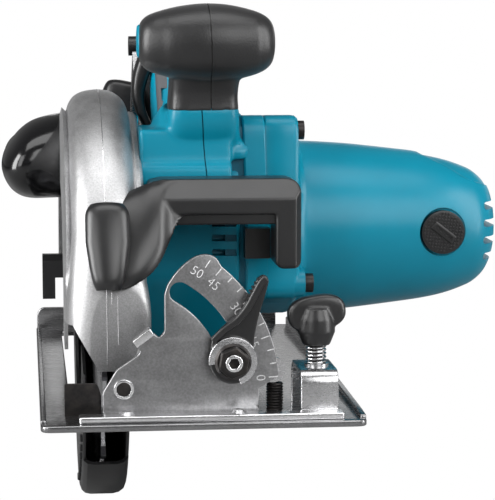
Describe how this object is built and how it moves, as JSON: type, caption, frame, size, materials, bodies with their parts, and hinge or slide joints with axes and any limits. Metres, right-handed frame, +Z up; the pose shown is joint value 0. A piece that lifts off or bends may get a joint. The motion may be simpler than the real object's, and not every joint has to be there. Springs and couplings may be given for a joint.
{
  "type": "circular saw",
  "caption": "Corded sidewinder circular saw: tilting base with bevel quadrant, depth swing, spring guard, geared blade, motor barrel, loop handle and front grip.",
  "frame": {"origin": "centre of the base plate's underside", "axes": "+Z up out of the sole, -Y the cutting direction, +X towards the motor"},
  "size_m": [0.2515, 0.283, 0.2451],
  "materials": {
    "base_sheet": "sanded",
    "quadrant": "sanded",
    "small_steel": "plain",
    "black_screw": "black oxide",
    "cast_case": "blasted",
    "teal_plastic": "satin",
    "black_plastic": "fine grain",
    "gloss_black": "gloss",
    "grip_rubber": "soft touch",
    "gear_metal": "ground",
    "blade_steel": "ground",
    "carbide": "ground",
    "copper": "drawn",
    "brass": "drawn",
    "carbon": "dull",
    "guard_alloy": "cast"
  },
  "bodies": {
    "root": {"base_plate": "base_sheet", "angular_plate": "quadrant", "rear_support": "base_sheet", "base_rivets": "small_steel", "bevel_pivot_pins": "small_steel", "stop_screw": "black_screw", "ring_screw": "small_steel", "fence_bracket": "base_sheet", "clamp_spring": "small_steel"},
    "fence_knob": {"clamp_knob": "black_plastic"},
    "tilt_bracket": {"front_bracket": "small_steel", "rear_bracket": "small_steel", "depth_guide": "small_steel", "depth_pivot_pin": "small_steel", "bevel_bolt": "small_steel", "c_ring": "small_steel", "bevel_nut": "black_screw"},
    "bevel_clamp": {"bevel_lever": "black_plastic"},
    "saw_head": {"blade_case": "cast_case", "case_screws": "small_steel", "dust_nozzle": "gloss_black", "air_hood": "black_plastic", "gear_housing": "teal_plastic", "bearing_cover": "teal_plastic", "motor_housing": "teal_plastic", "housing_screws": "black_screw", "spindle_bearings": "gear_metal", "motor_bearings": "gear_metal", "field_core": "gear_metal", "field_coils": "copper", "brush_holders": "brass", "carbon_brushes": "carbon", "brush_caps": "black_plastic", "handle_left": "teal_plastic", "handle_right": "teal_plastic", "front_grip_left": "grip_rubber", "front_grip_right": "grip_rubber", "handle_screws": "black_screw", "switch_unit": "black_plastic", "cord_gland": "grip_rubber", "depth_bolt": "small_steel", "guard_ring": "small_steel", "guard_spring": "small_steel"},
    "depth_clamp": {"depth_lever": "black_plastic"},
    "guard": {"lower_guard": "guard_alloy", "guard_lever": "black_plastic"},
    "blade_set": {"spindle": "gear_metal", "drive_gear": "gear_metal", "inner_flange": "gear_metal", "blade": "blade_steel", "carbide_tips": "carbide", "outer_flange": "gear_metal", "blade_bolt": "black_screw"},
    "armature": {"armature_shaft": "gear_metal", "armature_core": "gear_metal", "commutator": "copper", "cooling_fan": "black_plastic"},
    "trigger_body": {"trigger": "black_plastic"},
    "lock_off_body": {"lock_off_button": "black_plastic"},
    "shaft_lock_body": {"shaft_lock": "black_plastic"}
  },
  "joints": [
    {"name": "bevel_tilt", "type": "hinge", "parent": "root", "child": "tilt_bracket", "pos_m": [-0.0353, 0, 0.016], "axis": [0, -1, 0], "range_deg": [0, 45]},
    {"name": "depth_swing", "type": "hinge", "parent": "tilt_bracket", "child": "saw_head", "pos_m": [-0.0345, -0.11, 0.026], "axis": [1, 0, 0], "range_deg": [-2.5, 30]},
    {"name": "guard_swing", "type": "hinge", "parent": "saw_head", "child": "guard", "pos_m": [-0.0325, 0, 0.0406], "axis": [1, 0, 0], "range_deg": [0, 130], "stiffness_Nm_per_rad": 0.12, "springref_deg": -34.38},
    {"name": "blade_spin", "type": "hinge", "parent": "saw_head", "child": "blade_set", "pos_m": [-0.0425, 0, 0.0406], "axis": [1, 0, 0], "continuous": true},
    {"name": "armature_spin", "type": "hinge", "parent": "saw_head", "child": "armature", "pos_m": [0.0775, 0, 0.07497], "axis": [1, 0, 0], "continuous": true},
    {"name": "trigger_press", "type": "slide", "parent": "saw_head", "child": "trigger_body", "axis": [0, 0, 1], "range_m": [0, 0.004], "stiffness_N_per_m": 600, "springref_m": -0.002},
    {"name": "lock_off_press", "type": "slide", "parent": "saw_head", "child": "lock_off_body", "axis": [1, 0, 0], "range_m": [0, 0.004], "stiffness_N_per_m": 400, "springref_m": -0.002},
    {"name": "shaft_lock_press", "type": "slide", "parent": "saw_head", "child": "shaft_lock_body", "axis": [0, 1, 0], "range_m": [0, 0.004], "stiffness_N_per_m": 500, "springref_m": -0.002},
    {"name": "bevel_lever_turn", "type": "hinge", "parent": "tilt_bracket", "child": "bevel_clamp", "pos_m": [0.013, -0.13, 0.02894], "axis": [0, -1, 0], "range_deg": [0, 60]},
    {"name": "depth_lever_turn", "type": "hinge", "parent": "saw_head", "child": "depth_clamp", "pos_m": [-0.0145, 0.07617, 0.05217], "axis": [1, 0, 0], "range_deg": [-25, 5]},
    {"name": "fence_knob_turn", "type": "hinge", "parent": "root", "child": "fence_knob", "pos_m": [0.0528, -0.113, 0.04], "axis": [0, 0, 1], "range_deg": [0, 720]}
  ],
  "couplings": [
    {"joint": "armature_spin", "follows": "blade_spin", "ratio": -4.5}
  ]
}
